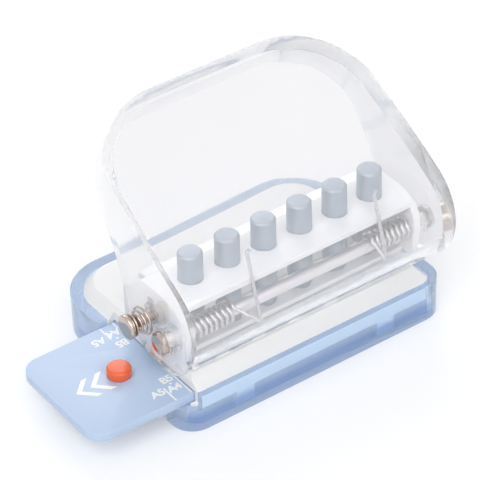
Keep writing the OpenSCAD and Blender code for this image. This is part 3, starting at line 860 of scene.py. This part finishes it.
@dataclass
class SpringSet:
    """The lever's two torsion springs, the lifter's two springs and the lock's spring."""

    turn_steps: int = 24
    wire_sides: int = 12
    bend_steps: int = 6
    first_rise: float = 1.2
    rest_angle: float = 31.3
    torsion_wire: float = 0.85 * MM
    torsion_r: float = 2.3 * MM
    torsion_pitch: float = 1.35 * MM
    torsion_turns: int = 7
    corner_v: float = -5.2 * MM
    corner_n: float = 0.8 * MM
    bend_r: float = 1.0 * MM
    tip_v: float = 6.6 * MM
    tip_n: float = 12.88 * MM
    tip_h: float = 1.4 * MM
    tip_r: float = 0.5 * MM
    left_inset: float = 1.4 * MM
    right_inset: float = 0.6 * MM
    left_leg: float = 10.05 * MM
    right_leg: float = 3.75 * MM
    lifter_wire: float = 0.6 * MM
    lifter_r: float = 2.0 * MM
    lifter_turns: int = 8
    lock_wire: float = 0.5 * MM
    lock_r: float = 1.8 * MM
    lock_end_r: float = 3.4 * MM
    lock_turns: int = 3
    lock_v: float = 6.7 * MM
    lock_n: float = -1.5 * MM

    def build(self, bench: Bench) -> None:
        """Wind the five springs; the lifter springs ride on the base and the lock's spring on the lever.
        """
        plate_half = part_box("top_plate")[1].x
        row_half = (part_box("punch_6")[0].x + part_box("punch_6")[1].x) / 2
        self._torsion(bench, "left", -plate_half + self.left_inset, 1.0, -row_half + self.left_leg)
        self._torsion(bench, "right", plate_half - self.right_inset, -1.0, row_half - self.right_leg)
        for side in ("left", "right"):
            self._lifter(bench, "lifter_spring_" + side)
        self._lock(bench)

    def _bend(self, before: Vector, corner: Vector, after: Vector, radius: float) -> list[Vector]:
        """Round a corner of a wire's path.

        Args:
            before: A point before the corner.
            corner: The corner itself.
            after: A point after the corner.
            radius: How far from the corner the bend starts and ends.

        Returns:
            The bend's points.
        """
        first = corner + (before - corner).normalized() * radius
        last = corner + (after - corner).normalized() * radius
        points = []
        for i in range(self.bend_steps + 1):
            t = i / self.bend_steps
            points.append(first * (1 - t) ** 2 + corner * 2 * t * (1 - t) + last * t ** 2)
        return points

    def _torsion(self, bench: Bench, side: str, start_x: float, way: float, leg_x: float) -> None:
        """Wind one torsion spring round the shaft, from the guide plate to the lever's panel.

        Args:
            bench: The shared workbench.
            side: Which spring, left or right.
            start_x: Where its foot stands along the row.
            way: +1 where the turns run to +X, otherwise -1.
            leg_x: Where its long leg stands along the row.
        """
        _, hinge_y, hinge_z = bench.joint("lever_hinge")["pos_m"]
        foot_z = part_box("guide_plate")[1].z
        corner = bench.lift_from_rest(leg_x, self.corner_v, self.corner_n, self.rest_angle)
        tip = bench.lift_from_rest(leg_x, self.tip_v, self.tip_n, self.rest_angle)
        low_tip = bench.lift_from_rest(leg_x, self.tip_v, self.tip_n - self.tip_h, self.rest_angle)
        reach_y = corner.y - hinge_y
        reach_z = corner.z - hinge_z
        away = math.hypot(reach_y, reach_z)
        leave = math.atan2(reach_z, reach_y) + 2 * math.pi - math.acos(self.torsion_r / away)
        total = 2 * math.pi * self.torsion_turns + leave
        steps = math.ceil(total / (2 * math.pi) * self.turn_steps)
        coil = []
        for i in range(steps + 1):
            turn = total * i / steps
            coil.append(Vector((start_x + way * self.torsion_pitch * turn / (2 * math.pi),
                                hinge_y + self.torsion_r * math.cos(turn),
                                hinge_z + self.torsion_r * math.sin(turn))))
        path = [Vector((start_x, hinge_y + self.torsion_r, foot_z))]
        path += coil
        path += self._bend(coil[-1], corner, low_tip, self.bend_r)
        path += self._bend(corner, low_tip, tip, self.tip_r)
        path.append(tip)
        node = "torsion_spring_" + side
        piece = self._wound(bench, node, path, self.torsion_wire)
        dress(piece, bench.palette.of(Finish.WIRE))
        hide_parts(node)
        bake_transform(piece)
        LOG.info("%s from base to lever: %d faces", piece.name, len(piece.data.polygons))

    def _wound(self, bench: Bench, node: str, path: list[Vector], wire: float) -> bpy.types.Object:
        """Sweep the wire of a spring along its path.

        Args:
            bench: The shared workbench.
            node: The solid that the spring stands for.
            path: The wire's middle line.
            wire: The wire's diameter.

        Returns:
            The swept piece.
        """
        return grown(node + "_wire", path, True, bench.trees.wire,
                     {"Wire Radius": wire / 2, "Sides": self.wire_sides})

    def _press_coil(self, first_r: float, last_r: float, wire: float, height: float,
                    turns: int) -> list[Vector]:
        """Give the path of a compression spring that stands on zero.

        Args:
            first_r: Radius at its foot.
            last_r: Radius at its top.
            wire: The wire's diameter.
            height: Its whole height.
            turns: Number of turns.

        Returns:
            The wire's middle line.
        """
        steps = turns * self.turn_steps
        low = self.first_rise * wire
        rise = height - 2 * low
        path = [Vector((first_r, 0.0, 0.0)), Vector((first_r, 0.0, wire))]
        for i in range(1, steps):
            turn = 2 * math.pi * i / self.turn_steps
            radius = first_r + (last_r - first_r) * i / steps
            path.append(Vector((radius * math.cos(turn), radius * math.sin(turn),
                                low + rise * i / steps)))
        path += [Vector((last_r, 0.0, height - wire)), Vector((last_r, 0.0, height))]
        return path

    def _lifter(self, bench: Bench, node: str) -> None:
        """Wind one lifter spring at its full height, though the spring shortens as the punches go down.

        Args:
            bench: The shared workbench.
            node: The solid that it stands for.
        """
        low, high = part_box(node)
        height = high.z - low.z
        seat = Vector(((low.x + high.x) / 2, (low.y + high.y) / 2, low.z))
        path = self._press_coil(self.lifter_r, self.lifter_r, self.lifter_wire, height,
                                self.lifter_turns)
        piece = self._wound(bench, node, [seat + point for point in path], self.lifter_wire)
        bench.settle(piece, Finish.WIRE, Body.BASE, node)
        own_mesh(piece)

    def _lock(self, bench: Bench) -> None:
        """Wind the lock's tapered spring at its full length, though the spring shortens as the knob is
        pushed in.

        Args:
            bench: The shared workbench.
        """
        node = "lock_spring"
        low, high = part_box(node)
        length = high.x - low.x
        path = self._press_coil(self.lock_r, self.lock_end_r, self.lock_wire, length, self.lock_turns)
        placed = [bench.lift_from_rest(low.x + point.z, self.lock_v + point.y, self.lock_n - point.x,
                                       self.rest_angle) for point in path]
        piece = self._wound(bench, node, placed, self.lock_wire)
        bench.settle(piece, Finish.NICKEL, Body.LEVER, node)
        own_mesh(piece)


@dataclass
class LockUnit:
    """Knob and pin that hold the lever down, with the ring on the pin."""

    edge: float = 0.12 * MM

    def build(self, bench: Bench) -> None:
        """Round the turned pin and its ring."""
        bench.round_off("lock_pin", self.edge, Finish.NICKEL, Body.LOCK)
        bench.round_off("lock_ring", self.edge, Finish.NICKEL, Body.LOCK)


@dataclass(frozen=True)
class PaperLine:
    """A line on the gauge, in millimetres from the middle and from the punch row."""

    x: float
    near: float
    far: float


@dataclass(frozen=True)
class PaperMark:
    """A paper size or a dot on the gauge, in millimetres from the middle and from the punch row."""

    words: str
    x: float
    y: float
    turned: bool = False


PAPER_LINES = (PaperLine(-31.2, -9.8, -2.3), PaperLine(-35.3, -10.0, -5.1),
               PaperLine(-35.0, 15.3, 19.65), PaperLine(-31.65, 17.7, 19.9))
PAPER_MARKS = (PaperMark("B5", -33.15, -3.1), PaperMark("A4", -33.3, -6.35),
               PaperMark("A5", -37.2, -5.9), PaperMark("A5", -37.7, 16.3, True),
               PaperMark("A4", -33.4, 16.9, True), PaperMark("B5", -33.8, 12.9, True))
PAPER_DOTS = (PaperMark("", -33.2, -4.75), PaperMark("", -33.6, 14.9))


@dataclass
class GaugeUnit:
    """Sliding paper gauge with its button and printed marks."""

    edge: float = 0.3 * MM
    button_edge: float = 0.25 * MM
    print_t: float = 0.02 * MM
    line_w: float = 0.35 * MM
    letter_size: float = 2.9 * MM
    letter_bold: float = 0.08 * MM
    letter_gap: float = 0.92
    dot_r: float = 0.28 * MM
    dot_sides: int = 16
    arrow_x: float = -51.0 * MM
    arrow_y: float = 4.6 * MM
    arrow_half: float = 3.2 * MM
    arrow_deep: float = 3.2 * MM
    arrow_w: float = 1.5 * MM
    arrow_step: float = 3.6 * MM
    arrow_count: int = 2
    top: float = field(init=False)
    row_y: float = field(init=False)

    def build(self, bench: Bench) -> None:
        """Build the ruler, the button and the print on the ruler."""
        bench.round_off("gauge_ruler", self.edge, Finish.RULER, Body.GAUGE)
        bench.round_off("gauge_button", self.button_edge, Finish.BUTTON, Body.GAUGE)
        self.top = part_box("gauge_ruler")[1].z
        self.row_y = (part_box("punch_1")[0].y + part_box("punch_1")[1].y) / 2
        marks = self._lines() + self._letters() + self._dots() + self._arrows()
        bench.settle(joined(marks, "gauge_print"), Finish.PRINT, Body.GAUGE)

    def _printed(self, outline: list[tuple[float, float]]) -> bpy.types.Object:
        """Print a shape on the ruler's face from its outline."""
        return slab(outline, self.top, self.top + self.print_t, "gauge_mark")

    def _lines(self) -> list[bpy.types.Object]:
        """Draw the lines that the sheet's edge is set to.

        Returns:
            One slab for each line.
        """
        half = self.line_w / 2
        slabs = []
        for line in PAPER_LINES:
            x = line.x * MM
            near = self.row_y + line.near * MM
            far = self.row_y + line.far * MM
            slabs.append(self._printed([(x - half, near), (x + half, near),
                                        (x + half, far), (x - half, far)]))
        return slabs

    def _letters(self) -> list[bpy.types.Object]:
        """Set the paper sizes beside their lines.

        Returns:
            One mesh for each word.
        """
        made = []
        for mark in PAPER_MARKS:
            data = bpy.data.curves.new("paper_size", "FONT")
            data.body = mark.words
            data.size = self.letter_size
            data.offset = self.letter_bold
            data.space_character = self.letter_gap
            data.align_x = "CENTER"
            data.align_y = "CENTER"
            data.extrude = self.print_t / 2
            text = link_object("paper_size", data)
            text.location = (mark.x * MM, self.row_y + mark.y * MM, self.top + self.print_t / 2)
            text.rotation_euler = (0.0, 0.0, math.pi if mark.turned else 0.0)
            made.append(as_mesh(text, "paper_size_mesh"))
        return made

    def _dots(self) -> list[bpy.types.Object]:
        """Set a dot between the two sizes that share a line, at each end.

        Returns:
            One slab for each dot.
        """
        slabs = []
        turns = [2 * math.pi * i / self.dot_sides for i in range(self.dot_sides)]
        for dot in PAPER_DOTS:
            outline = [(dot.x * MM + self.dot_r * math.cos(turn),
                        self.row_y + dot.y * MM + self.dot_r * math.sin(turn)) for turn in turns]
            slabs.append(self._printed(outline))
        return slabs

    def _arrows(self) -> list[bpy.types.Object]:
        """Draw two plain chevrons that show which way the gauge pulls out.

        Returns:
            One slab for each chevron.
        """
        slabs = []
        y = self.row_y + self.arrow_y
        for i in range(self.arrow_count):
            tip = self.arrow_x + i * self.arrow_step
            inner = tip + self.arrow_deep
            outer = inner + self.arrow_w
            outline = [(tip, y), (inner, y - self.arrow_half), (outer, y - self.arrow_half),
                       (tip + self.arrow_w, y), (outer, y + self.arrow_half), (inner, y + self.arrow_half)]
            slabs.append(self._printed(outline))
        return slabs


@dataclass
class PhotoCamera:
    """Camera at the photograph's place, from a fit of the punch row, tray and lever."""

    azimuth: float = -34.76
    elevation: float = 37.28
    roll: float = -1.91
    focal_px: float = 2692.0
    picture_px: float = 480.0
    sensor: float = 36.0
    distance: float = 0.5771
    target: tuple[float, float, float] = (0.0, -0.0132, 0.0293)
    target_px: tuple[float, float] = (281.0, 236.1)

    def build(self) -> bpy.types.Object:
        """Place the camera.

        Returns:
            The scene's camera object.
        """
        turn = math.radians(self.azimuth)
        rise = math.radians(self.elevation)
        back = Vector((math.sin(turn) * math.cos(rise), -math.cos(turn) * math.cos(rise),
                       math.sin(rise)))
        side = (-back).cross(Vector((0.0, 0.0, 1.0))).normalized()
        top = side.cross(-back)
        lean = math.radians(self.roll)
        right = side * math.cos(lean) + top * math.sin(lean)
        up = top * math.cos(lean) - side * math.sin(lean)
        middle = self.picture_px / 2
        ray = (right * (self.target_px[0] - middle) - up * (self.target_px[1] - middle)) / self.focal_px
        place = Vector(self.target) - (ray - back) * self.distance
        data = bpy.data.cameras.new("photo_camera")
        data.lens = self.focal_px / self.picture_px * self.sensor
        data.sensor_width = self.sensor
        data.clip_start = 0.01
        data.dof.use_dof = False
        camera = link_object("photo_camera", data)
        camera.matrix_world = Matrix.Translation(place) @ Matrix((right, up, back)).transposed().to_4x4()
        bpy.context.scene.camera = camera
        return camera


@dataclass(frozen=True)
class Softbox:
    """A square soft lamp: its name, its place, the side of its face and its power in watts."""

    name: str
    place: tuple[float, float, float]
    size: float
    power: float


@dataclass
class Studio:
    """Pale floor, soft lamps and a white surrounding."""

    lamps: tuple[Softbox, ...] = (Softbox("key_softbox", (-0.55, -0.35, 0.75), 0.7, 3.9),
                                  Softbox("front_softbox", (-0.15, -0.85, 0.5), 0.7, 2.3),
                                  Softbox("back_softbox", (0.3, 0.75, 0.5), 0.6, 2.0))
    aim: tuple[float, float, float] = (0.0, 0.0, 0.02)
    floor_half: float = 3.0
    floor_colour: tuple[float, float, float] = (0.86, 0.86, 0.87)
    floor_lift: float = 0.2
    sky_top: float = 0.55
    sky_side: float = 0.35
    sky_seen: float = 1.0
    sky_rise: float = 0.7
    mirrored: float = 0.75
    bounces: int = 24

    def build(self) -> None:
        """Make the floor, the lamps and the world."""
        self._floor()
        self._world()
        for softbox in self.lamps:
            self._hang(softbox)
        scene = bpy.context.scene
        scene.view_settings.view_transform = "Standard"
        scene.cycles.max_bounces = self.bounces
        scene.cycles.transmission_bounces = self.bounces
        scene.cycles.glossy_bounces = self.bounces

    def _floor(self) -> None:
        """Make the floor, which looks white and keeps the object's shadow."""
        mesh = bpy.data.meshes.new("floor")
        h = self.floor_half
        mesh.from_pydata([(-h, -h, 0.0), (h, -h, 0.0), (h, h, 0.0), (-h, h, 0.0)], [], [(0, 1, 2, 3)])
        floor = link_object("floor", mesh)
        material, shader = new_material("pale_floor")
        set_inputs(shader, {"Base Color": (*self.floor_colour, 1.0), "Roughness": 0.9,
                            "Specular IOR Level": 0.0})
        tree = material.node_tree
        rays = add_node(tree, "ShaderNodeLightPath").outputs
        seen = add_node(tree, "ShaderNodeMath", {0: rays["Is Camera Ray"], 1: rays["Is Glossy Ray"]},
                        operation="MAXIMUM")
        lift = add_node(tree, "ShaderNodeMath", {0: seen.outputs["Value"], 1: self.floor_lift},
                        operation="MULTIPLY")
        glow = add_node(tree, "ShaderNodeEmission", {"Strength": lift.outputs["Value"]})
        both = add_node(tree, "ShaderNodeAddShader",
                        {0: shader.outputs["BSDF"], 1: glow.outputs["Emission"]})
        set_inputs(tree.nodes["Material Output"], {"Surface": both.outputs["Shader"]})
        dress(floor, material)

    def _world(self) -> None:
        """Make a surrounding that is bright above, dimmer at the sides and white to look at."""
        world = bpy.data.worlds.new("studio")
        world.use_nodes = True
        bpy.context.scene.world = world
        tree = world.node_tree
        place = add_node(tree, "ShaderNodeTexCoord").outputs["Generated"]
        split = add_node(tree, "ShaderNodeSeparateXYZ", {"Vector": place})
        fade = add_node(tree, "ShaderNodeMapRange",
                        {"Value": split.outputs["Z"], "From Min": 0.0, "From Max": self.sky_rise,
                         "To Min": self.sky_side, "To Max": self.sky_top})
        rays = add_node(tree, "ShaderNodeLightPath").outputs
        seen = add_node(tree, "ShaderNodeMath",
                        {0: rays["Is Camera Ray"], 1: rays["Is Transmission Ray"]},
                        operation="MAXIMUM")
        mirrored = add_node(tree, "ShaderNodeMath",
                            {0: rays["Is Glossy Ray"], 1: self.mirrored, 2: seen.outputs["Value"]},
                            operation="MULTIPLY_ADD")
        pick = add_node(tree, "ShaderNodeMix",
                        {"Factor": mirrored.outputs["Value"], "A": fade.outputs["Result"],
                         "B": self.sky_seen}, data_type="FLOAT")
        set_inputs(tree.nodes["Background"], {"Color": (1.0, 1.0, 1.0, 1.0),
                                              "Strength": pick.outputs["Result"]})

    def _hang(self, softbox: Softbox) -> None:
        """Hang one soft lamp that looks at the object.

        Args:
            softbox: The lamp's sizes.
        """
        data = bpy.data.lights.new(softbox.name, "AREA")
        data.energy = softbox.power
        data.size = softbox.size
        lamp = link_object(softbox.name, data)
        lamp.location = softbox.place
        aim = Vector(self.aim) - Vector(softbox.place)
        lamp.rotation_euler = aim.to_track_quat("-Z", "Y").to_euler()


def main() -> None:
    """Build the camera, the studio and every sub-assembly in order."""
    logging.basicConfig(level=logging.INFO, format="%(name)s: %(message)s")
    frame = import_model()
    effects = Effects()
    effects.build()
    trees = ShapeTrees()
    trees.build()
    bench = Bench(frame, Palette(effects), trees)
    PhotoCamera().build()
    Studio().build()
    for unit in (TrayUnit, BaseUnit, PunchUnit, SpringSet, PressLever, LockUnit, GaugeUnit):
        unit().build(bench)


if __name__ == "__main__":
    main()
